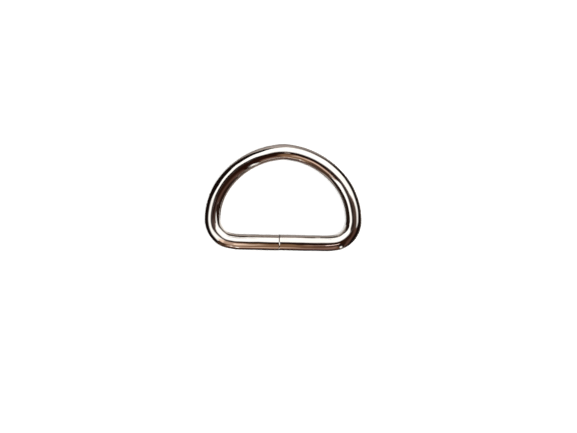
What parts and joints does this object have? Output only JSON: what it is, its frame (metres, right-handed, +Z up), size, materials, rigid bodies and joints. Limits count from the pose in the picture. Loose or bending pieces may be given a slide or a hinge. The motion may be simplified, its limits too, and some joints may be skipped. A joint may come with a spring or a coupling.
{
  "type": "d ring",
  "caption": "Plated wire ring bent into a D, with a straight bar for a strap and a butted joint in the bar.",
  "frame": {"origin": "on the surface that the ring lies on, under the middle of the ring's own box", "axes": "+X along the straight bar, +Y from the bar towards the crown of the arch, +Z up through the wire's thickness, out of the plane that the ring is bent in"},
  "size_m": [0.031, 0.021, 0.003],
  "materials": {
    "nickel_plate": "polished bright nickel plating over steel wire, with fine lines along the wire"
  },
  "bodies": {
    "root": {"d_ring": "nickel_plate"}
  },
  "joints": []
}
